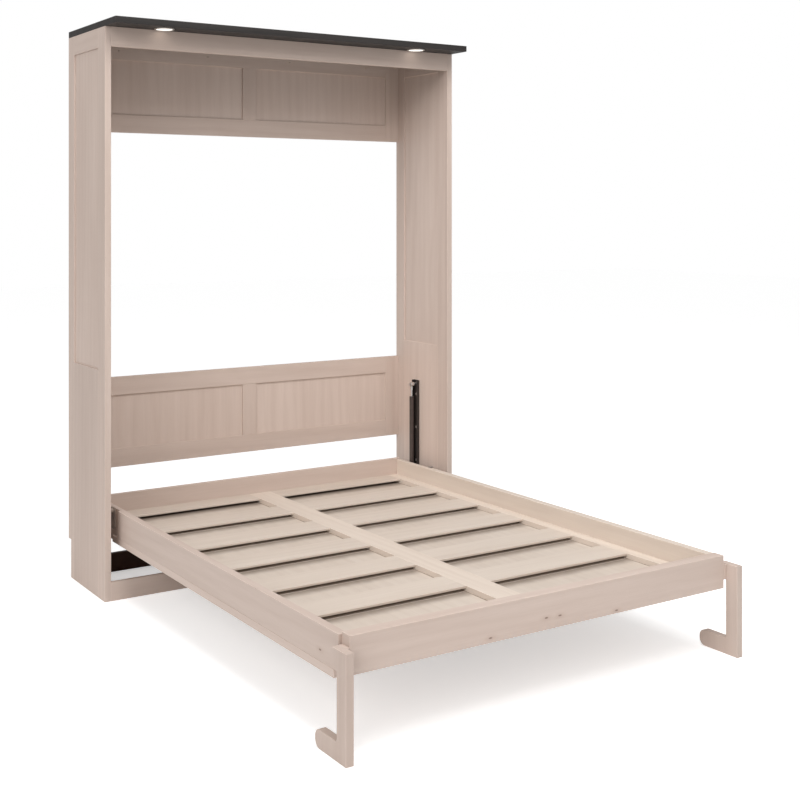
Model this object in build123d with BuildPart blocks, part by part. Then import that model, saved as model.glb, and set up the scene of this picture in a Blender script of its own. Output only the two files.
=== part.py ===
"""Murphy wall bed: an open-backed wall cabinet with a slatted bed that folds down out of it.

The origin is on the floor at the centre of the opened bed's footprint. +Z is up, -Y points into
the room and +Y to the wall. The bed is modelled folded down, at joint value 0.
"""

from build123d import *
import os

# Cabinet. All sizes are in millimetres.
cabinet_width = 1638.0
cabinet_depth = 425.4
side_height = 2217.0
side_thick = 25.4
top_thick = 25.4
top_overhang = 114.3
frame_width = 76.2      # stiles and rails of the shaker frames
face_thick = 20.0       # face frame on the front edges of the sides
field_recess = 6.3      # step from a frame's face down to its field
back_thick = 19.0

# Bed
bed_gap = 55.2          # cabinet's inner face to the outer face of the bed's rail
rail_thick = 19.0
rail_top = 338.6        # foot and head rails
rail_step = 6.0         # side rails end this far below the foot and head rails
rail_bottom = 245.0
foot_rail_thick = 44.0
deck_panel_thick = 18.0
deck_board_thick = 19.0
slat_thick = 8.0
face_frame_thick = 25.4
face_lip = 11.0         # how far the side rails and the face frame overhang the deck panel
head_back = 327.0       # rear face of the head rail behind the cabinet's front plane
pivot_depth = 119.0     # main pivot behind the cabinet's front plane
head_clearance = 3.9    # folded foot rail to the header above it

# Slatted deck
slat_rows = 7
slat_width = 134.0
head_slat_width = 102.0
foot_slat_width = 188.0
edge_board_width = 47.4
centre_board_width = 100.0

# Folding legs
leg_thick = 26.0
leg_width = 50.0
leg_lead = 45.6         # the leg's front face beyond the foot rail's front face
leg_top = 308.0
leg_flange = 84.0       # depth of the leg's head, which carries its pivot
hook_length = 170.0
hook_height = 55.0
spacer_thick = 14.0
leg_pivot_inset = 23.0  # leg pivot behind the foot rail's front face
leg_pivot_drop = 25.0   # leg pivot below the leg's top

# Gas springs
spring_depth = 247.0    # behind the cabinet's front plane
spring_offset = 29.6    # inboard of the cabinet's inner face
spring_upper = 690.0    # height of the upper stud
tube_radius = 11.0
rod_radius = 4.0
stud_radius = 5.0
pin_radius = 6.0

ease = 1.2              # radius on the arrises of the wooden boards
running = 0.05          # radial clearance of a pin that turns in its hole
apart = 0.4             # gap between separate moving pieces
SIDES = (("left", -1), ("right", 1))

# Derived places
half = cabinet_width / 2
inner = half - side_thick
bed_half = inner - bed_gap
header_bottom = side_height - frame_width
deck_panel_bottom = rail_bottom - deck_panel_thick
face_bottom = deck_panel_bottom - face_frame_thick
slat_top = rail_bottom + deck_board_thick
side_rail_top = rail_top - rail_step
pivot_z = face_bottom + pivot_depth - 0.6
foot_reach = header_bottom - head_clearance - pivot_z - pivot_depth
leg_reach = foot_reach + leg_lead
front = (leg_reach - cabinet_depth) / 2
back = front + cabinet_depth
pivot_y = front + pivot_depth
foot_y = front - foot_reach
rail_end = foot_y + foot_rail_thick
head_y = front + head_back
leg_inner = bed_half + spacer_thick
leg_outer = leg_inner + leg_thick
leg_front = front - leg_reach
leg_pivot_y = foot_y + leg_pivot_inset
leg_pivot_z = leg_top - leg_pivot_drop
spring_x = inner - spring_offset
spring_y = front + spring_depth

os.makedirs("parts", exist_ok=True)


def keep(name, *solids):
    """Writes one node: a single piece, or a group of like pieces."""
    piece = solids[0] if len(solids) == 1 else Compound(children=list(solids))
    piece.label = name
    export_step(piece, f"parts/{name}.step")


def span(hand, near, far):
    """The pair of X faces between two distances from the middle, on one side of the bed."""
    return sorted((hand * near, hand * far))


def board(x, y, z, radius=ease):
    """A straight board between pairs of faces, with its arrises eased."""
    with BuildPart() as piece:
        with BuildSketch(Plane.XY.offset(z[0])):
            with Locations(((x[0] + x[1]) / 2, (y[0] + y[1]) / 2)):
                Rectangle(x[1] - x[0], y[1] - y[0])
        extrude(amount=z[1] - z[0])
        fillet(piece.edges(), radius)
    return piece.part


def across(x, y, z):
    """The plane at x whose normal is +X, with its origin on the axis through y and z."""
    return Plane(origin=(x, y, z), x_dir=(0, 1, 0), z_dir=(1, 0, 0))


# --- Cabinet sides: shaker frames of stiles, rail and lower board around a recessed field ---

stile_front_y = (front + face_thick, front + frame_width)
field_y = (front + frame_width, back - 68.4)
stile_back_y = (field_y[1], back)
lower_board_top = 887.0
notch_depth = 30.7
notch_height = 156.0
screw_shank = 3.0
channel_screws = (643.0, 488.0, 333.0)
screw_hole_depth = 12.0
pin_socket = 15.0       # how deep the main pivot's pin is let into the side


def side_lower_board(hand):
    """The solid board below the field, drilled for the main pivot's pin and the channel's screws."""
    x = span(hand, inner, half)
    with BuildPart() as piece:
        add(board(x, field_y, (0, lower_board_top)))
        inside = Plane(origin=(hand * inner, 0, 0), x_dir=(0, 1, 0), z_dir=(-hand, 0, 0))
        with BuildSketch(inside):
            for height in channel_screws:
                with Locations(inside.to_local_coords(Vector(hand * inner, spring_y, height))):
                    Circle(screw_shank)
        extrude(amount=-screw_hole_depth, mode=Mode.SUBTRACT)
        with BuildSketch(inside):
            with Locations(inside.to_local_coords(Vector(hand * inner, pivot_y, pivot_z))):
                Circle(pin_radius)
        extrude(amount=-pin_socket, mode=Mode.SUBTRACT)
    return piece.part


def side_back_stile(hand):
    """The rear stile, notched at the foot to stand over a skirting board."""
    x = span(hand, inner, half)
    with BuildPart() as piece:
        with BuildSketch(Plane.YZ.offset(x[0])):
            with BuildLine():
                Polyline(
                    (stile_back_y[0], 0),
                    (back - notch_depth, 0),
                    (back - notch_depth, notch_height),
                    (back, notch_height),
                    (back, side_height),
                    (stile_back_y[0], side_height),
                    close=True,
                )
            make_face()
        extrude(amount=side_thick)
        fillet(piece.edges().filter_by(Axis.X, reverse=True), ease)
    return piece.part


for side, hand in SIDES:
    x = span(hand, inner, half)
    field_x = span(hand, inner + field_recess, half - field_recess)
    keep(f"face_stile_{side}", board(x, (front, front + face_thick), (0, side_height)))
    keep(f"side_front_stile_{side}", board(x, stile_front_y, (0, side_height)))
    keep(f"side_back_stile_{side}", side_back_stile(hand))
    keep(f"side_top_rail_{side}", board(x, field_y, (header_bottom, side_height)))
    keep(f"side_lower_board_{side}", side_lower_board(hand))
    keep(f"side_field_{side}", board(field_x, field_y, (lower_board_top, header_bottom), 0.6))

# --- Front header and kick board ---

kick_height = 73.0
keep("header_rail", board((-inner, inner), (front, front + face_thick), (header_bottom, side_height)))
keep("kick_board", board((-inner, inner), (front, front + rail_thick), (0, kick_height)))

# --- Top board with two round lights let into the underside of its overhang ---

light_inset = 226.0
light_lead = 43.0       # light's centre in front of the cabinet's front plane
ring_radius = 40.0
lens_radius = 33.0
light_pocket = 10.0
ring_stand = 3.0
lens_stand = 1.8
lens_depth = 4.0


def top_board():
    """The dark top, flush at the sides and the back, with a pocket for each light."""
    with BuildPart() as piece:
        add(board((-half, half), (front - top_overhang, back), (side_height, side_height + top_thick), 2.0))
        with BuildSketch(Plane.XY.offset(side_height)):
            with Locations(*[(hand * (half - light_inset), front - light_lead) for _, hand in SIDES]):
                Circle(lens_radius + 2)
        extrude(amount=light_pocket, mode=Mode.SUBTRACT)
    return piece.part


def light_ring():
    """Turned trim ring: a body in the pocket and a rounded flange below the board."""
    body = lens_radius + 2
    with BuildPart() as piece:
        with BuildSketch(Plane.XZ):
            with BuildLine():
                Polyline(
                    (lens_radius, light_pocket),
                    (body, light_pocket),
                    (body, 0),
                    (ring_radius, 0),
                    (ring_radius, -1),
                    (ring_radius - 2, -ring_stand),
                    (lens_radius, -ring_stand),
                    close=True,
                )
            make_face()
        revolve(axis=Axis.Z)
    return piece.part


def light_lens():
    """Frosted disc inside the ring, with a rounded lower edge."""
    with BuildPart() as piece:
        with BuildSketch(Plane.XY.offset(-lens_stand)):
            Circle(lens_radius)
        extrude(amount=lens_stand + lens_depth)
        fillet(piece.edges().sort_by(Axis.Z)[0], 1.2)
    return piece.part


keep("top_board", top_board())
for side, hand in SIDES:
    place = Location((hand * (half - light_inset), front - light_lead, side_height))
    keep(f"light_ring_{side}", light_ring().moved(place))
    keep(f"light_lens_{side}", light_lens().moved(place))

# --- Upper and lower back panels: shaker frames between the sides, flush with the back ---

back_y = (back - back_thick, back)
back_field_y = (back_y[0] + field_recess, back - field_recess)
end_stile = 73.0
centre_stile = 68.0
wall_screw_pitch = 406.4
wall_screw_radius = 3.0
upper_back_height = 382.0


def drilled_top_rail(x, z):
    """The upper back rail, with four holes for the screws into the wall's studs."""
    with BuildPart() as piece:
        add(board(x, back_y, z))
        with BuildSketch(Plane.XZ.offset(-back)):
            with Locations((0, (z[0] + z[1]) / 2)):
                with GridLocations(wall_screw_pitch, 1, 4, 1):
                    Circle(wall_screw_radius)
        extrude(amount=back_thick, mode=Mode.SUBTRACT)
    return piece.part


def back_panel(name, low, high, drilled):
    """One framed panel: two rails, three stiles and two recessed fields."""
    rail_x = (-inner + end_stile, inner - end_stile)
    rail_low = (low, low + frame_width)
    rail_high = (high - frame_width, high)
    between = (rail_low[1], rail_high[0])
    top = drilled_top_rail(rail_x, rail_high) if drilled else board(rail_x, back_y, rail_high)
    ends = [board(span(hand, inner - end_stile, inner), back_y, (low, high)) for _, hand in SIDES]
    centre = board((-centre_stile / 2, centre_stile / 2), back_y, between)
    fields = [
        board(span(hand, centre_stile / 2, inner - end_stile), back_field_y, between, 0.6)
        for _, hand in SIDES
    ]
    keep(f"{name}_back_rails", board(rail_x, back_y, rail_low), top)
    keep(f"{name}_back_stiles", ends[0], centre, ends[1])
    keep(f"{name}_back_fields", *fields)


back_panel("upper", side_height - upper_back_height, side_height, True)
back_panel("lower", 429.0, 807.0, False)

# --- Rear floor stretcher, in front of the skirting notch ---

stretcher_height = 78.0
stretcher_y = (back - notch_depth - rail_thick, back - notch_depth)
keep("rear_stretcher", board((-inner, inner), stretcher_y, (0, stretcher_height)))

# --- Steel channel, main pivot pin, spring stud and screws on each side ---

channel_width = 42.0
channel_depth = 15.0
channel_wall = 3.0
channel_low = 300.0
channel_high = 709.0
pin_end = 1.0           # gap from the pin's end to the bed rail
eye_width = 14.0
screw_head_height = 2.5


def channel(hand):
    """Pressed steel channel with its web against the side and holes for stud and screws."""
    x = span(hand, inner - channel_depth, inner)
    web = span(hand, inner - channel_wall, inner)
    groove = span(hand, inner - channel_depth, inner - channel_wall)
    with BuildPart() as piece:
        with BuildSketch(Plane.XY.offset(channel_low)):
            with Locations((sum(x) / 2, spring_y)):
                Rectangle(channel_depth, channel_width)
            with Locations((sum(groove) / 2, spring_y)):
                Rectangle(groove[1] - groove[0], channel_width - 2 * channel_wall, mode=Mode.SUBTRACT)
        extrude(amount=channel_high - channel_low)
        corners = piece.edges().filter_by(Axis.Z)
        outer = corners.filter_by(lambda e: abs(abs(e.center().Y - spring_y) - channel_width / 2) < 0.1)
        fillet(outer.filter_by(lambda e: abs(abs(e.center().X) - inner) < 0.1), channel_wall - 0.5)
        with BuildSketch(across(web[0], spring_y, 0)):
            with Locations(*[(0, height) for height in channel_screws]):
                Circle(screw_shank)
            with Locations((0, spring_upper)):
                Circle(stud_radius)
        extrude(amount=channel_wall, mode=Mode.SUBTRACT)
    return piece.part


def pivot_pin(hand):
    """Round pin pressed into the side, on which the bed turns."""
    x = span(hand, bed_half + pin_end, inner + pin_socket)
    with BuildPart() as piece:
        with BuildSketch(across(x[0], pivot_y, pivot_z)):
            Circle(pin_radius)
        extrude(amount=x[1] - x[0])
    return piece.part


def spring_stud(hand):
    """Stud riveted into the channel's web, with a collar behind the spring's eye and a head."""
    eye = (spring_x - eye_width / 2, spring_x + eye_width / 2)
    steps = (
        (inner - channel_wall, inner, stud_radius),
        (eye[1] + apart, inner - channel_wall, stud_radius + 3),
        (eye[0] - apart, eye[1] + apart, stud_radius),
        (eye[0] - apart - 3, eye[0] - apart, stud_radius + 3),
    )
    with BuildPart() as piece:
        for near, far, radius in steps:
            x = span(hand, near, far)
            with BuildSketch(across(x[0], spring_y, spring_upper)):
                Circle(radius)
            extrude(amount=x[1] - x[0])
    return piece.part


def screw(hand, height):
    """Pan-head screw along X: the head stands on the channel's web and the shank is in the wood."""
    face = inner - channel_wall
    outward = Plane(origin=(hand * face, spring_y, height), x_dir=(0, 1, 0), z_dir=(-hand, 0, 0))
    depth = channel_wall + screw_hole_depth - 2
    with BuildPart() as piece:
        with BuildSketch(outward):
            Circle(2 * screw_shank)
        extrude(amount=screw_head_height)
        fillet(piece.faces().sort_by(Axis.X)[0 if hand > 0 else -1].edges(), 1.5)
        with BuildSketch(outward):
            Circle(screw_shank)
        extrude(amount=-depth)
    return piece.part


def cabinet_screws():
    """Three screws in each channel."""
    return [screw(hand, height) for _, hand in SIDES for height in channel_screws]


for side, hand in SIDES:
    keep(f"channel_{side}", channel(hand))
    keep(f"pivot_pin_{side}", pivot_pin(hand))
keep("spring_studs", *[spring_stud(hand) for _, hand in SIDES])
keep("cabinet_screws", *cabinet_screws())

# --- Bed rails, main panel and the shaker face that closes the cabinet ---

bracket_thick = 4.0
foot_bolt_depth = 35.0
face_foot_y = foot_y + 70
face_full_y = front + 107
face_head_y = front + 352
face_stile = 100.0
bracket_rebate = front + 50
deck_half = bed_half - rail_thick


def foot_rail():
    """Thick rail across the foot, drilled at both ends for the legs' pivot bolts."""
    with BuildPart() as piece:
        add(board((-bed_half, bed_half), (foot_y, rail_end), (deck_panel_bottom, rail_top), 2.0))
        for _, hand in SIDES:
            x = span(hand, bed_half - foot_bolt_depth, bed_half)
            with BuildSketch(across(x[0], leg_pivot_y, leg_pivot_z)):
                Circle(stud_radius)
            extrude(amount=foot_bolt_depth, mode=Mode.SUBTRACT)
    return piece.part


def bed_face_stile(hand):
    """Long stile of the bed's face, stepped in at the head to pass the springs."""
    lip = hand * (bed_half + face_lip)
    edge = hand * bed_half
    near = hand * (bed_half + face_lip - face_stile)
    with BuildPart() as piece:
        with BuildSketch(Plane.XY.offset(face_bottom)):
            with BuildLine():
                Polyline(
                    (near, face_foot_y),
                    (lip, face_foot_y),
                    (lip, face_full_y),
                    (edge, face_full_y),
                    (edge, face_head_y),
                    (near, face_head_y),
                    close=True,
                )
            make_face()
        extrude(amount=face_frame_thick)
        fillet(piece.edges(), ease)
    return piece.part


def bed_rail(hand):
    """Side rail rebated over the deck panel's edge, and cut back at the head for the bracket."""
    rail_y = (rail_end, head_y - rail_thick)
    rail_x = span(hand, deck_half, bed_half + face_lip)
    skirt = span(hand, bed_half, bed_half + face_lip)
    with BuildPart() as piece:
        add(board(rail_x, rail_y, (deck_panel_bottom, side_rail_top), 2.0))
        with BuildSketch(Plane.XY.offset(deck_panel_bottom)):
            with Locations((hand * (deck_half + bed_half) / 2, sum(rail_y) / 2)):
                Rectangle(rail_thick, rail_y[1] - rail_y[0])
        extrude(amount=rail_bottom - deck_panel_bottom, mode=Mode.SUBTRACT)
        with BuildSketch(Plane.XY.offset(deck_panel_bottom)):
            with Locations((sum(skirt) / 2, (bracket_rebate + rail_y[1]) / 2)):
                Rectangle(face_lip, rail_y[1] - bracket_rebate)
        extrude(amount=side_rail_top - deck_panel_bottom, mode=Mode.SUBTRACT)
    return piece.part


for side, hand in SIDES:
    keep(f"bed_rail_{side}", bed_rail(hand))
keep("head_rail", board((-bed_half, bed_half), (head_y - rail_thick, head_y), (rail_bottom, rail_top), 2.0))
keep("foot_rail", foot_rail())
keep("deck_panel", board((-bed_half, bed_half), (rail_end, head_y), (deck_panel_bottom, rail_bottom), 0.8))
keep("bed_face_stiles", *[bed_face_stile(hand) for _, hand in SIDES])

face_near = bed_half + face_lip - face_stile
face_z = (face_bottom, deck_panel_bottom)
face_middle = (face_foot_y + face_head_y) / 2
face_rail_y = (
    (face_foot_y, face_foot_y + face_stile),
    (face_middle - face_stile / 2, face_middle + face_stile / 2),
    (face_head_y - face_stile, face_head_y),
)
keep("bed_face_rails", *[board((-face_near, face_near), y, face_z) for y in face_rail_y])

# --- Slatted deck: two edge boards, a centre board and rows of short slats between them ---

deck_y = (rail_end, head_y - rail_thick)
deck_z = (rail_bottom, slat_top)
slat_near = centre_board_width / 2
slat_far = deck_half - edge_board_width
first_opening = deck_y[1] - head_slat_width
last_opening = deck_y[0] + foot_slat_width
slat_pitch = (first_opening + slat_width - last_opening) / (slat_rows - 1)
keep("centre_board", board((-slat_near, slat_near), deck_y, deck_z))
for side, hand in SIDES:
    keep(f"edge_board_{side}", board(span(hand, slat_far, deck_half), deck_y, deck_z))
for row in range(slat_rows):
    start = first_opening - row * slat_pitch
    high = deck_y[1] if row == 0 else start + slat_width
    low = deck_y[0] if row == slat_rows - 1 else start
    slat_z = (slat_top - slat_thick, slat_top)
    pair = [board(span(hand, slat_near, slat_far), (low, high), slat_z) for _, hand in SIDES]
    keep(f"slat_row_{row + 1}", *pair)

# --- Steel brackets on the bed rails: bushing for the main pivot and stud for the gas spring ---

bracket_y = (front + 98, front + 300)
bracket_z = (rail_bottom + 4, side_rail_top - 1)
hub_radius = 10.0
hub_length = 16.0
stud_gap = 2.5          # open spring pivot: end of the bed's stud to the spring's eye


def bed_bracket(hand):
    """Flat plate on the rail with a bored hub round the main pivot and a stud for the spring."""
    plate_x = span(hand, bed_half, bed_half + bracket_thick)
    hub_x = span(hand, bed_half + bracket_thick, bed_half + bracket_thick + hub_length)
    stud_x = span(hand, bed_half + bracket_thick, spring_x - eye_width / 2 - stud_gap)
    with BuildPart() as piece:
        with BuildSketch(Plane.YZ.offset(plate_x[0])):
            with BuildLine():
                Polyline(
                    (bracket_y[0], bracket_z[0]),
                    (bracket_y[1], bracket_z[0]),
                    (bracket_y[1], bracket_z[1]),
                    (bracket_y[0], bracket_z[1]),
                    close=True,
                )
            make_face()
        extrude(amount=bracket_thick)
        fillet(piece.edges().filter_by(Axis.X), 12)
        with BuildSketch(across(hub_x[0], pivot_y, pivot_z)):
            Circle(hub_radius)
        extrude(amount=hub_length)
        with BuildSketch(across(stud_x[0], spring_y, pivot_z)):
            Circle(stud_radius + 1)
        extrude(amount=stud_x[1] - stud_x[0])
        with BuildSketch(across(min(plate_x[0], hub_x[0]), pivot_y, pivot_z)):
            Circle(pin_radius + running)
        extrude(amount=bracket_thick + hub_length, mode=Mode.SUBTRACT)
    return piece.part


for side, hand in SIDES:
    keep(f"bed_bracket_{side}", bed_bracket(hand))

# --- Folding J-shaped legs, their spacer blocks and their pivot bolts ---

leg_bore = 20.0         # blind hole for the pivot bolt in the leg's inner face
bolt_end_gap = 0.5
spacer_depth = 38.0
spacer_low = 256.0
spacer_high = 306.0


def leg(hand):
    """Leg sawn from one board: a head for the pivot, a straight shank and a rounded floor hook."""
    x = span(hand, leg_inner, leg_outer)
    shank_back = leg_front + leg_width
    flange_back = leg_front + leg_flange
    flange_bottom = leg_top - leg_width
    toe = leg_front + hook_length
    with BuildPart() as piece:
        with BuildSketch(Plane.YZ.offset(x[0])) as outline:
            with BuildLine():
                Polyline(
                    (leg_front, 0),
                    (leg_front, leg_top),
                    (flange_back, leg_top),
                    (flange_back, flange_bottom),
                    (shank_back, flange_bottom),
                    (shank_back, hook_height),
                    (toe, hook_height),
                    (toe, 0),
                    close=True,
                )
            make_face()
            corners = outline.vertices()
            fillet(corners.group_by(Axis.X)[-1], 24)
            fillet(outline.vertices().filter_by(lambda v: abs(v.X - shank_back) < 0.1), 7)
            fillet(outline.vertices().filter_by(lambda v: abs(v.X - flange_back) < 0.1), 10)
        extrude(amount=leg_thick)
        faces = piece.faces().filter_by(Axis.X)
        fillet(faces.edges(), ease + 0.3)
        bore = span(hand, leg_inner, leg_inner + leg_bore)
        with BuildSketch(across(bore[0], leg_pivot_y, leg_pivot_z)):
            Circle(stud_radius + running)
        extrude(amount=leg_bore, mode=Mode.SUBTRACT)
    return piece.part


def leg_spacer(hand):
    """Wooden block glued to the foot rail's end, bored for the pivot bolt."""
    x = span(hand, bed_half, leg_inner - apart)
    with BuildPart() as piece:
        add(board(x, (foot_y, foot_y + spacer_depth), (spacer_low, spacer_high)))
        with BuildSketch(across(x[0], leg_pivot_y, leg_pivot_z)):
            Circle(stud_radius)
        extrude(amount=x[1] - x[0], mode=Mode.SUBTRACT)
    return piece.part


def leg_bolt(hand):
    """Headless pivot bolt: fast in the foot rail, running in the leg's blind hole."""
    x = span(hand, bed_half - foot_bolt_depth, leg_inner + leg_bore - bolt_end_gap)
    with BuildPart() as piece:
        with BuildSketch(across(x[0], leg_pivot_y, leg_pivot_z)):
            Circle(stud_radius)
        extrude(amount=x[1] - x[0])
    return piece.part


for side, hand in SIDES:
    keep(f"leg_{side}", leg(hand))
keep("leg_spacers", *[leg_spacer(hand) for _, hand in SIDES])
keep("leg_bolts", *[leg_bolt(hand) for _, hand in SIDES])

# --- Gas springs: rod on the cabinet's stud, tube reaching down to the bed's stud ---

tube_top = 634.0
gland = 16.0
bore_radius = 9.5
tube_floor = pivot_z + 14
rod_end = tube_top - 184
piston_height = 9.0
eye_radius = 11.0


def spring_rod(hand):
    """Polished rod with an eye at the top and a piston at its lower end."""
    x = span(hand, spring_x - eye_width / 2, spring_x + eye_width / 2)
    with BuildPart() as piece:
        with BuildSketch(across(x[0], spring_y, spring_upper)):
            Circle(eye_radius)
        extrude(amount=eye_width)
        with BuildSketch(Plane.XY.offset(rod_end)):
            with Locations((hand * spring_x, spring_y)):
                Circle(rod_radius)
        extrude(amount=spring_upper - rod_end)
        with BuildSketch(Plane.XY.offset(spring_upper - 26)):
            with Locations((hand * spring_x, spring_y)):
                Circle(rod_radius + 2.5)
        extrude(amount=20)
        with BuildSketch(Plane.XY.offset(rod_end)):
            with Locations((hand * spring_x, spring_y)):
                Circle(bore_radius - 0.08)
        extrude(amount=piston_height)
        with BuildSketch(across(x[0], spring_y, spring_upper)):
            Circle(stud_radius + running)
        extrude(amount=eye_width, mode=Mode.SUBTRACT)
    return piece.part


def spring_tube(hand):
    """Black tube, hollow for the piston, with a bored gland and a lower eye."""
    x = span(hand, spring_x - eye_width / 2, spring_x + eye_width / 2)
    with BuildPart() as piece:
        with BuildSketch(Plane.XZ.offset(-spring_y)):
            with BuildLine():
                Polyline(
                    (hand * spring_x, tube_floor - 6),
                    (hand * spring_x + tube_radius - 1, tube_floor - 6),
                    (hand * spring_x + tube_radius, tube_floor - 5),
                    (hand * spring_x + tube_radius, tube_top - 1.5),
                    (hand * spring_x + tube_radius - 1.5, tube_top),
                    (hand * spring_x + rod_radius + running, tube_top),
                    (hand * spring_x + rod_radius + running, tube_top - gland),
                    (hand * spring_x + bore_radius, tube_top - gland),
                    (hand * spring_x + bore_radius, tube_floor),
                    (hand * spring_x, tube_floor),
                    close=True,
                )
            make_face()
        revolve(axis=Axis((hand * spring_x, spring_y, 0), (0, 0, 1)))
        with BuildSketch(across(x[0], spring_y, pivot_z)):
            Circle(eye_radius)
        extrude(amount=eye_width)
        with BuildSketch(across(x[0], spring_y, pivot_z)):
            Circle(stud_radius + 1.5)
        extrude(amount=eye_width, mode=Mode.SUBTRACT)
    return piece.part


for side, hand in SIDES:
    keep(f"spring_rod_{side}", spring_rod(hand))
    keep(f"spring_tube_{side}", spring_tube(hand))
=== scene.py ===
import bpy
import math
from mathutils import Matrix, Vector


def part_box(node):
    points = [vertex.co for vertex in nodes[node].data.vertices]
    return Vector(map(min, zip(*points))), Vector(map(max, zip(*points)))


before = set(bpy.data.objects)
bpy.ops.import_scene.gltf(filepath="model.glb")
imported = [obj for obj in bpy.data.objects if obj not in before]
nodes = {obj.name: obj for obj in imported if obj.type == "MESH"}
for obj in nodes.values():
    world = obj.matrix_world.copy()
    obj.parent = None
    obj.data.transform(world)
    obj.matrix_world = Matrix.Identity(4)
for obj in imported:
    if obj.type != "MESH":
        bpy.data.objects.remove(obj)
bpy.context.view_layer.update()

# ---------------------------------------------------------------------------------------------
# Cabinet sides. Each side is a shaker frame of whitewashed alder: a face stile glued on the
# front edge, two long stiles, a top rail and a lower board round a thin recessed field.
# ---------------------------------------------------------------------------------------------

WHITEWASH = {"pale": (0.640, 0.525, 0.460), "deep": (0.565, 0.450, 0.388), "line": (0.43, 0.31, 0.25)}
BOARD_ROUGHNESS = 0.52
BOARD_SPECULAR = 0.35
ARRIS_WIDTH = 0.0028
ARRIS_LIGHTER = 1.12
OTHER_HALF_SHIFT = (3.7, 0, 0)
HALO_RADIUS, HALO_COLOR = 0.014, (0.36, 0.22, 0.15, 1)
HEART_RADIUS, HEART_COLOR = 0.0036, (0.13, 0.07, 0.05, 1)
ORDER = {"x": (0, 1, 2), "y": (1, 0, 2), "z": (2, 0, 1)}


def put(tree, kind, inputs=None, **settings):
    """Adds a shader node, sets it up, and joins or sets its inputs."""
    node = tree.nodes.new(kind)
    for name, value in settings.items():
        setattr(node, name, value)
    for key, value in (inputs or {}).items():
        if isinstance(value, bpy.types.NodeSocket):
            tree.links.new(value, node.inputs[key])
        else:
            node.inputs[key].default_value = value
    return node


def sums(tree, operation, a, b=0.0, c=0.0):
    """One Math node, returning its result."""
    return put(tree, "ShaderNodeMath", {0: a, 1: b, 2: c}, operation=operation).outputs[0]


def vectors(tree, operation, a, b=(0, 0, 0)):
    """One Vector Math node, returning its vector."""
    return put(tree, "ShaderNodeVectorMath", {0: a, 1: b}, operation=operation).outputs[0]


def blended(tree, amount, a, b, mode="MIX"):
    """One colour Mix node, returning its colour."""
    node = put(tree, "ShaderNodeMix", {0: amount, 6: a, 7: b}, data_type="RGBA", blend_type=mode)
    return node.outputs[2]


def ramped(tree, value, low, high):
    """A value taken smoothly from 0 at low to 1 at high."""
    node = put(tree, "ShaderNodeMapRange", {"Value": value, "From Min": low, "From Max": high})
    node.interpolation_type = "SMOOTHSTEP"
    return node.outputs[0]


def noise_at(tree, point, scale, detail):
    """A Noise texture's value at a point."""
    node = put(tree, "ShaderNodeTexNoise", {"Vector": point, "Scale": scale, "Detail": detail})
    return node.outputs["Fac"]


def new_group(name, inputs, outputs):
    """An empty shader group with named sockets, and its input and output nodes."""
    group = bpy.data.node_groups.new(name, "ShaderNodeTree")
    for label, kind in inputs:
        group.interface.new_socket(label, in_out="INPUT", socket_type=kind)
    for label, kind in outputs:
        group.interface.new_socket(label, in_out="OUTPUT", socket_type=kind)
    return group, group.nodes.new("NodeGroupInput"), group.nodes.new("NodeGroupOutput")


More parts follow.
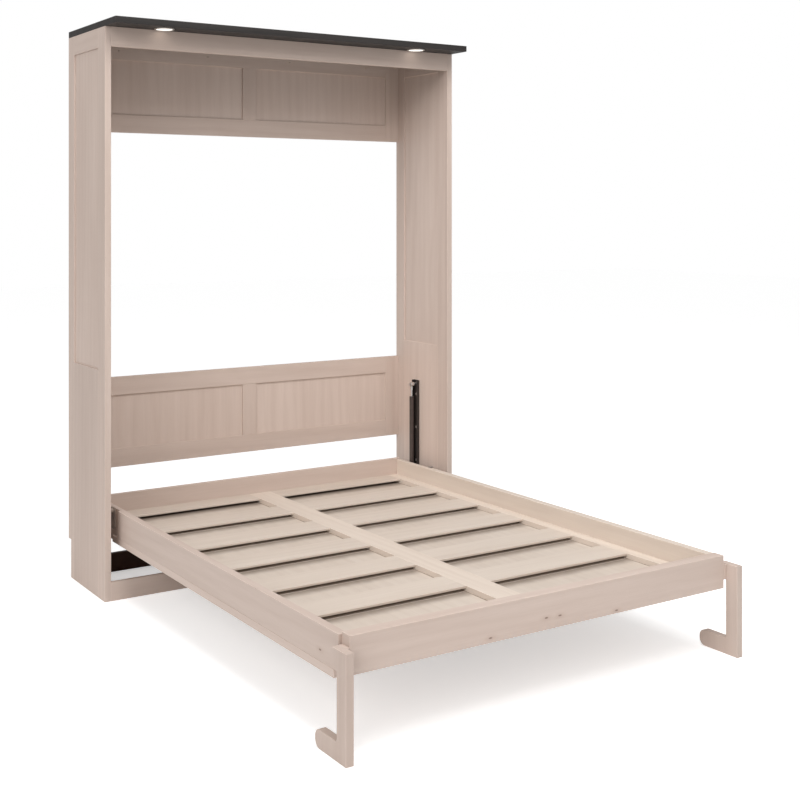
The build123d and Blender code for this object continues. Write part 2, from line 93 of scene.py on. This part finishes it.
def grain_group():
    """Straight grain along the first coordinate: broad tone, streaks, growth rings, fibres and pores."""
    tree, given, out = new_group(
        "alder grain",
        [("Along", "NodeSocketVector"), ("Seed", "NodeSocketVector"), ("Pale", "NodeSocketColor"),
         ("Deep", "NodeSocketColor"), ("Line", "NodeSocketColor"), ("Rings", "NodeSocketFloat")],
        [("Color", "NodeSocketColor"), ("Roughness", "NodeSocketFloat"), ("Height", "NodeSocketFloat")],
    )
    here = vectors(tree, "ADD", given.outputs["Along"], given.outputs["Seed"])

    def noise(stretch, detail=4.0, roughness=0.55):
        where = vectors(tree, "MULTIPLY", here, stretch)
        node = put(tree, "ShaderNodeTexNoise",
                   {"Vector": where, "Scale": 1.0, "Detail": detail, "Roughness": roughness})
        return node.outputs["Fac"]

    tilted = put(tree, "ShaderNodeVectorRotate", {"Vector": here, "Angle": 0.035}, rotation_type="Z_AXIS")
    bent = vectors(tree, "MULTIPLY", tilted.outputs[0], (0.22, 1.0, 1.0))
    wave = put(tree, "ShaderNodeTexWave", {"Vector": bent, "Scale": 9.0, "Distortion": 4.5, "Detail": 3.0,
                                          "Detail Scale": 1.3, "Detail Roughness": 0.6},
               wave_type="RINGS", rings_direction="X", wave_profile="SIN")
    rings = sums(tree, "POWER", wave.outputs["Fac"], 2.2)

    broad = noise((0.9, 6.0, 6.0), 3.0)
    streak = noise((1.3, 46.0, 46.0), 5.0, 0.62)
    fibre = noise((9.0, 330.0, 330.0), 3.0, 0.6)
    pores = ramped(tree, noise((34.0, 700.0, 700.0), 2.0, 0.7), 0.63, 0.72)

    tone = sums(tree, "MULTIPLY", ramped(tree, streak, 0.28, 0.74), 0.42)
    tone = sums(tree, "MULTIPLY_ADD", ramped(tree, broad, 0.28, 0.72), 0.58, tone)
    color = blended(tree, tone, given.outputs["Pale"], given.outputs["Deep"])
    ring_amount = sums(tree, "MULTIPLY", rings, given.outputs["Rings"])
    color = blended(tree, ring_amount, color, given.outputs["Line"])
    fibre_amount = sums(tree, "MULTIPLY", ramped(tree, fibre, 0.45, 0.78), 0.10)
    color = blended(tree, fibre_amount, color, given.outputs["Line"])
    color = blended(tree, sums(tree, "MULTIPLY", pores, 0.14), color, given.outputs["Line"])
    tree.links.new(color, out.inputs["Color"])
    rough = sums(tree, "MULTIPLY_ADD", fibre, 0.16, BOARD_ROUGHNESS - 0.08)
    tree.links.new(rough, out.inputs["Roughness"])
    relief = sums(tree, "MULTIPLY_ADD", fibre, 0.6, sums(tree, "MULTIPLY", streak, 0.4))
    relief = sums(tree, "SUBTRACT", relief, sums(tree, "MULTIPLY", pores, 0.8))
    tree.links.new(relief, out.inputs["Height"])
    return tree


def arris_group():
    """How close a point is to a board's nearest arris, from the board's own two corners."""
    tree, given, out = new_group(
        "arris wear",
        [("Point", "NodeSocketVector"), ("Low", "NodeSocketVector"), ("High", "NodeSocketVector"),
         ("Width", "NodeSocketFloat")],
        [("Wear", "NodeSocketFloat")],
    )
    below = vectors(tree, "SUBTRACT", given.outputs["Point"], given.outputs["Low"])
    above = vectors(tree, "SUBTRACT", given.outputs["High"], given.outputs["Point"])
    depth = put(tree, "ShaderNodeSeparateXYZ", {0: vectors(tree, "MINIMUM", below, above)})
    x, y, z = depth.outputs
    least = sums(tree, "MINIMUM", sums(tree, "MINIMUM", x, y), z)
    most = sums(tree, "MAXIMUM", sums(tree, "MAXIMUM", x, y), z)
    total = sums(tree, "ADD", sums(tree, "ADD", x, y), z)
    middle = sums(tree, "SUBTRACT", sums(tree, "SUBTRACT", total, least), most)
    patches = sums(tree, "MULTIPLY", noise_at(tree, given.outputs["Point"], 38.0, 3.0), 2.0)
    reach = sums(tree, "MULTIPLY", given.outputs["Width"], patches)
    worn = put(tree, "ShaderNodeMapRange", {"Value": middle, "From Min": reach, "From Max": 0.0})
    tree.links.new(worn.outputs[0], out.inputs["Wear"])
    return tree


GRAIN = grain_group()
ARRIS = arris_group()


def knotted(tree, color, point, along, knots):
    """Small dark knots at given places, each in a faint halo drawn out along the grain."""
    squeeze = [0.4 if axis == "xyz".index(along) else 1.0 for axis in range(3)]
    for place in knots:
        away = vectors(tree, "MULTIPLY", vectors(tree, "SUBTRACT", point, place), squeeze)
        reach = put(tree, "ShaderNodeVectorMath", {0: away}, operation="LENGTH").outputs["Value"]
        halo = sums(tree, "MULTIPLY", ramped(tree, reach, HALO_RADIUS, 0.001), 0.22)
        color = blended(tree, halo, color, HALO_COLOR)
        heart = sums(tree, "MULTIPLY", ramped(tree, reach, HEART_RADIUS, 0.0014), 0.72)
        color = blended(tree, heart, color, HEART_COLOR)
    return color


def wood_material(name, along, box, stain, number, tone=1.0, rings=0.10, knots=(), mirrored=False,
                  wear=0.35):
    """One board's finish: the grain runs along an axis, and each board has its own piece of tree."""
    shades = {key: [min(1.0, c * tone) for c in color] for key, color in stain.items()}
    material = bpy.data.materials.new(name)
    material.use_nodes = True
    tree = material.node_tree
    shader = tree.nodes["Principled BSDF"]
    point = put(tree, "ShaderNodeTexCoord").outputs["Object"]
    parts = put(tree, "ShaderNodeSeparateXYZ", {0: point}).outputs
    turned = put(tree, "ShaderNodeCombineXYZ", {n: parts[axis] for n, axis in enumerate(ORDER[along])})
    grain_at = turned.outputs[0]
    arris_at = point
    if mirrored:
        hand = put(tree, "ShaderNodeCombineXYZ", {0: sums(tree, "SIGN", parts[0])}).outputs[0]
        grain_at = vectors(tree, "ADD", grain_at, vectors(tree, "MULTIPLY", hand, OTHER_HALF_SHIFT))
        aside = sums(tree, "ABSOLUTE", parts[0])
        arris_at = put(tree, "ShaderNodeCombineXYZ", {0: aside, 1: parts[1], 2: parts[2]}).outputs[0]
    grain = put(tree, "ShaderNodeGroup", node_tree=GRAIN)
    tree.links.new(grain_at, grain.inputs["Along"])
    seed = (number * 1.618 % 7.0, 0.35 + number * 0.413 % 1.9, 0.27 + number * 0.777 % 1.3)
    grain.inputs["Seed"].default_value = seed
    for socket in ("Pale", "Deep", "Line"):
        grain.inputs[socket].default_value = (*shades[socket.lower()], 1)
    grain.inputs["Rings"].default_value = rings
    edge = put(tree, "ShaderNodeGroup", node_tree=ARRIS)
    tree.links.new(arris_at, edge.inputs["Point"])
    edge.inputs["Low"].default_value, edge.inputs["High"].default_value = box
    edge.inputs["Width"].default_value = ARRIS_WIDTH
    color = knotted(tree, grain.outputs["Color"], point, along, knots)
    worn = sums(tree, "MULTIPLY", edge.outputs["Wear"], wear)
    color = blended(tree, worn, color, (*[min(1.0, c * ARRIS_LIGHTER) for c in shades["pale"]], 1))
    tree.links.new(color, shader.inputs["Base Color"])
    tree.links.new(grain.outputs["Roughness"], shader.inputs["Roughness"])
    relief = {"Strength": 0.18, "Distance": 0.0006, "Height": grain.outputs["Height"]}
    tree.links.new(put(tree, "ShaderNodeBump", relief).outputs[0], shader.inputs["Normal"])
    shader.inputs["Specular IOR Level"].default_value = BOARD_SPECULAR
    return material


board_count = 0


def wooden(names, along, stain=WHITEWASH, inside=None, **looks):
    """Gives CAD boards their wood. inside is where a mirrored pair starts, from the middle."""
    global board_count
    for name in names:
        board_count += 1
        low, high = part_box(name)
        if inside is not None:
            low = Vector((inside, low.y, low.z))
            looks["mirrored"] = True
        material = wood_material(f"{name} wood", along, (low, high), stain, board_count, **looks)
        mesh = nodes[name].data
        mesh.materials.clear()
        mesh.materials.append(material)


def both(*names):
    """The left and the right node of each name."""
    return [f"{name}_{side}" for name in names for side in ("left", "right")]


wooden(both("side_front_stile", "side_back_stile"), "z")
# The face stiles and the left lower board are toned darker, a painted shade. The right lower board is
# toned brighter, a painted light on the cabinet's inner right wall.
wooden(both("face_stile") + ["side_lower_board_left"], "z", tone=0.95)
wooden(["side_lower_board_right"], "z", tone=1.09)
wooden(both("side_top_rail"), "y")
wooden(both("side_field"), "z", tone=1.03)

# ---------------------------------------------------------------------------------------------
# Header and kick board. Two rails of the same wood between the sides, flush with the front.
# ---------------------------------------------------------------------------------------------

wooden(["header_rail", "kick_board"], "x")

# ---------------------------------------------------------------------------------------------
# Top board. One thick board stained charcoal, which overhangs the front.
# ---------------------------------------------------------------------------------------------

CHARCOAL = {"pale": (0.036, 0.031, 0.029), "deep": (0.022, 0.019, 0.018), "line": (0.008, 0.007, 0.006)}
wooden(["top_board"], "x", CHARCOAL, rings=0.3, wear=0.5)

# ---------------------------------------------------------------------------------------------
# Round lights under the overhang: a satin nickel trim ring and a frosted disc that is lit.
# ---------------------------------------------------------------------------------------------

METAL_DARKER = 0.78
MARK_FINENESS = 22


def metal_material(name, color, roughness, metallic=1.0, scratches=0.25, scale=60.0):
    """Painted or plated metal, with a fine uneven sheen and small marks."""
    material = bpy.data.materials.new(name)
    material.use_nodes = True
    tree = material.node_tree
    shader = tree.nodes["Principled BSDF"]
    point = put(tree, "ShaderNodeTexCoord").outputs["Object"]
    cloud = noise_at(tree, point, scale, 5.0)
    fine = noise_at(tree, point, scale * MARK_FINENESS, 2.0)
    darker = (*[c * METAL_DARKER for c in color], 1)
    shade = blended(tree, ramped(tree, cloud, 0.35, 0.7), (*color, 1), darker)
    tree.links.new(shade, shader.inputs["Base Color"])
    rough = sums(tree, "MULTIPLY_ADD", cloud, scratches, roughness - scratches / 2)
    tree.links.new(rough, shader.inputs["Roughness"])
    bump = put(tree, "ShaderNodeBump", {"Strength": 0.12, "Distance": 0.0003, "Height": fine})
    tree.links.new(bump.outputs[0], shader.inputs["Normal"])
    shader.inputs["Metallic"].default_value = metallic
    return material


LENS_GLOW = 0.95


def lens_material():
    """Frosted plastic, lit from behind, its glow a little uneven."""
    material = bpy.data.materials.new("lit lens")
    material.use_nodes = True
    tree = material.node_tree
    shader = tree.nodes["Principled BSDF"]
    point = put(tree, "ShaderNodeTexCoord").outputs["Object"]
    cloud = noise_at(tree, point, 90.0, 2.0)
    glow = blended(tree, ramped(tree, cloud, 0.3, 0.7), (1.0, 0.98, 0.94, 1), (0.97, 0.94, 0.88, 1))
    tree.links.new(glow, shader.inputs["Base Color"])
    tree.links.new(glow, shader.inputs["Emission Color"])
    shader.inputs["Emission Strength"].default_value = LENS_GLOW
    shader.inputs["Roughness"].default_value = 0.45
    return material


def dressed(names, material):
    """Gives CAD nodes one material."""
    for name in names:
        mesh = nodes[name].data
        mesh.materials.clear()
        mesh.materials.append(material)


dressed(both("light_ring"), metal_material("satin nickel", (0.62, 0.61, 0.59), 0.35))
dressed(both("light_lens"), lens_material())

# ---------------------------------------------------------------------------------------------
# Back panels. An upper and a lower shaker panel, each with two recessed fields of upright grain.
# ---------------------------------------------------------------------------------------------

MIDDLE_STILE_SHARE = 0.68
field_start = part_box("centre_board")[1].x * MIDDLE_STILE_SHARE
for place in ("upper", "lower"):
    wooden([f"{place}_back_rails"], "x")
    wooden([f"{place}_back_stiles"], "z")
    wooden([f"{place}_back_fields"], "z", inside=field_start, tone=1.05)

# ---------------------------------------------------------------------------------------------
# Rear floor stretcher. A plain rail stained espresso, low behind the bed.
# ---------------------------------------------------------------------------------------------

ESPRESSO = {"pale": (0.075, 0.032, 0.018), "deep": (0.05, 0.02, 0.012), "line": (0.02, 0.008, 0.005)}
wooden(["rear_stretcher"], "x", ESPRESSO, rings=0.3)

# ---------------------------------------------------------------------------------------------
# Steelwork on the sides and on the bed's rails: channels in a dark powder coat, brackets in
# a taupe one, and zinc plated pivot pins, studs and screws.
# ---------------------------------------------------------------------------------------------

black_steel = metal_material("dark powder coat", (0.026, 0.019, 0.017), 0.42, 0.0, 0.2, 40.0)
zinc = metal_material("zinc plate", (0.62, 0.61, 0.60), 0.32)
taupe_steel = metal_material("taupe powder coat", (0.38, 0.30, 0.25), 0.45, 0.0, 0.2, 40.0)
dressed(both("channel"), black_steel)
dressed(both("bed_bracket"), taupe_steel)
dressed(both("pivot_pin") + ["spring_studs", "cabinet_screws", "leg_bolts"], zinc)

# ---------------------------------------------------------------------------------------------
# Bed frame. Rails on edge round the deck, a thick foot rail with a few knots, and the shaker face under
# the main panel that fills the cabinet's front when the bed is up. The right rail is given the deck's
# paler stain, a little brighter, as painted light on its inner face.
# ---------------------------------------------------------------------------------------------

SANDED = {"pale": (0.705, 0.612, 0.530), "deep": (0.635, 0.540, 0.460), "line": (0.49, 0.38, 0.31)}
foot_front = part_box("foot_rail")[0].y
knot_places = ((-0.039, 0.264), (0.015, 0.262), (0.249, 0.237), (-0.253, 0.242))
foot_knots = [(x, foot_front, z) for x, z in knot_places]
rail_knot = (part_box("bed_rail_left")[0].x, -0.893, 0.260)
wooden(["bed_rail_left"], "y", tone=0.95, knots=[rail_knot])
# Painted light: the right rail takes the paler deck stain so that its inner face reads as lit.
wooden(["bed_rail_right"], "y", SANDED, tone=1.02)
wooden(["head_rail"], "x")
wooden(["foot_rail"], "x", knots=foot_knots)
wooden(["bed_face_rails"], "x")
rail_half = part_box("foot_rail")[1].x
FACE_STILE_WIDTH = 0.089
wooden(["bed_face_stiles"], "y", inside=rail_half - FACE_STILE_WIDTH)

# ---------------------------------------------------------------------------------------------
# Slatted deck. Unfinished paler boards: edge boards, a centre board and short slats, all
# lying on the main panel.
# ---------------------------------------------------------------------------------------------

# Tint, colour and sizes of the painted shade on the deck panel's top, in the openings between the slats.
PANEL_TOP_SHADE_TINT = (0.985, 0.930, 0.940, 1)
GAP_SHADE = (0.17, 0.125, 0.095, 1)
SHADE_REACH, SHADE_DEPTH, SHADE_WAVER = 0.060, 0.72, 0.022
CORNER_REACH, CORNER_DEPTH = 0.007, 0.55


def shaded_panel(material, top, slat_edge, pitch, board_edges):
    """Tints the panel's top face a little darker and warmer, and darkens it more in front of each slat
    and beside the boards: all painted shade in the openings.
    """
    tree = material.node_tree
    shader = tree.nodes["Principled BSDF"]
    bare = shader.inputs["Base Color"].links[0].from_socket
    point = put(tree, "ShaderNodeTexCoord").outputs["Object"]
    x, y, z = put(tree, "ShaderNodeSeparateXYZ", {0: point}).outputs
    on_top = sums(tree, "GREATER_THAN", z, top - 0.001)
    # Painted shade: the panel's top, seen only through the openings, is dimmed a little and warmed.
    shaded_top = blended(tree, 1.0, bare, PANEL_TOP_SHADE_TINT, mode="MULTIPLY")
    bare = blended(tree, on_top, shaded_top, bare)
    # Painted shade: a soft dark band on the panel in front of each slat, its edge wavering.
    ahead = sums(tree, "MODULO", sums(tree, "SUBTRACT", slat_edge, y), pitch)
    patchy = noise_at(tree, point, 30.0, 3.0)
    ahead = sums(tree, "MULTIPLY_ADD", patchy, -SHADE_WAVER, sums(tree, "ADD", ahead, SHADE_WAVER / 2))
    shade = sums(tree, "MULTIPLY", ramped(tree, ahead, SHADE_REACH, 0.002), SHADE_DEPTH)
    aside = sums(tree, "ABSOLUTE", x)
    # Painted shade: a thin dark line where the panel meets the centre board and the edge boards.
    for edge in board_edges:
        away = sums(tree, "ABSOLUTE", sums(tree, "SUBTRACT", aside, edge))
        corner = sums(tree, "MULTIPLY", ramped(tree, away, CORNER_REACH, 0.001), CORNER_DEPTH)
        shade = sums(tree, "MAXIMUM", shade, corner)
    painted_shade_color = blended(tree, sums(tree, "MULTIPLY", shade, on_top), bare, GAP_SHADE)
    tree.links.new(painted_shade_color, shader.inputs["Base Color"])


wooden(["deck_panel"], "y", SANDED, tone=0.92)
first_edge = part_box("slat_row_1")[0].y
slat_pitch = first_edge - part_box("slat_row_2")[0].y
board_edges = (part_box("centre_board")[1].x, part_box("edge_board_right")[0].x)
panel_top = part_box("deck_panel")[1].z
shaded_panel(nodes["deck_panel"].data.materials[0], panel_top, first_edge, slat_pitch, board_edges)
wooden(both("edge_board") + ["centre_board"], "y", SANDED, tone=1.05)
slats = [f"slat_row_{row}" for row in range(1, 8)]
wooden(slats, "x", SANDED, inside=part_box("centre_board")[1].x, tone=0.95)

# ---------------------------------------------------------------------------------------------
# Legs. Sawn from one board each, with the grain upright, turning on a bolt beside a wooden block
# glued to the foot rail's end.
# ---------------------------------------------------------------------------------------------

wooden(both("leg"), "z", tone=0.93)
wooden(["leg_spacers"], "z", inside=rail_half)

# ---------------------------------------------------------------------------------------------
# Gas springs. A black painted tube and a chromed rod on each side.
# ---------------------------------------------------------------------------------------------

dressed(both("spring_tube"), metal_material("black paint", (0.062, 0.044, 0.038), 0.33, 0.0, 0.15, 50.0))
dressed(both("spring_rod"), metal_material("chrome", (0.78, 0.78, 0.78), 0.12, 1.0, 0.06, 80.0))

# ---------------------------------------------------------------------------------------------
# Floor, light and camera. A white floor and surround, two softboxes above, a broad soft light
# from the left, and the camera at standing height to the left of the bed's foot.
# ---------------------------------------------------------------------------------------------

FLOOR_SIZE = 40.0
FLOOR_LIFT = 0.46
SURROUND_LEVEL = 0.425
bpy.ops.mesh.primitive_plane_add(size=FLOOR_SIZE, location=(0, 0, 0))
floor = bpy.context.object
floor.name = "floor"
floor_material = bpy.data.materials.new("pale floor")
floor_material.use_nodes = True
floor_shader = floor_material.node_tree.nodes["Principled BSDF"]
floor_shader.inputs["Base Color"].default_value = (0.92, 0.92, 0.92, 1)
floor_shader.inputs["Roughness"].default_value = 0.9
floor_shader.inputs["Emission Color"].default_value = (1, 1, 1, 1)
seen = floor_material.node_tree.nodes.new("ShaderNodeLightPath")
lift = sums(floor_material.node_tree, "MULTIPLY", seen.outputs["Is Camera Ray"], FLOOR_LIFT)
floor_material.node_tree.links.new(lift, floor_shader.inputs["Emission Strength"])
floor.data.materials.append(floor_material)

world = bpy.data.worlds.new("soft surround")
bpy.context.scene.world = world
world.use_nodes = True
surround = world.node_tree.nodes["Background"]
surround.inputs["Color"].default_value = (1, 1, 1, 1)
seen = world.node_tree.nodes.new("ShaderNodeLightPath")
levels = {"Value": seen.outputs["Is Camera Ray"], "To Min": SURROUND_LEVEL}
level = put(world.node_tree, "ShaderNodeMapRange", levels)
world.node_tree.links.new(level.outputs[0], surround.inputs["Strength"])


def soft_light(name, size, power, place, target):
    """A square area light that faces a point."""
    data = bpy.data.lights.new(name, "AREA")
    data.size = size
    data.energy = power
    light = bpy.data.objects.new(name, data)
    light.location = place
    light.rotation_euler = (Vector(target) - Vector(place)).to_track_quat("-Z", "Y").to_euler()
    bpy.context.scene.collection.objects.link(light)


soft_light("front softbox", 2.5, 75.0, (-0.7, -2.4, 4.5), (0.0, 0.0, 0.5))
soft_light("overhead softbox", 3.0, 77.0, (0.0, -0.8, 4.6), (0.0, -0.8, 0.0))
WINDOW_SIDE = Vector((-0.8, -0.5, 0.45))
window_data = bpy.data.lights.new("window light", "SUN")
window_data.energy = 1.16
window_data.angle = 0.7
window_light = bpy.data.objects.new("window light", window_data)
window_light.rotation_euler = WINDOW_SIDE.to_track_quat("Z", "Y").to_euler()
bpy.context.scene.collection.objects.link(window_light)

LENS_MM = 56.72
VIEW_TURN = math.radians(-33.103)
camera_data = bpy.data.cameras.new("camera")
camera_data.lens = LENS_MM
camera_data.sensor_width = 36.0
camera_data.shift_x = 0.002
camera_data.shift_y = -0.2385
camera = bpy.data.objects.new("camera", camera_data)
camera.location = (-2.5199, -4.01625, 1.512)
camera.rotation_euler = (math.radians(90), 0, VIEW_TURN)
bpy.context.scene.collection.objects.link(camera)
bpy.context.scene.camera = camera
bpy.context.scene.view_settings.view_transform = "Standard"
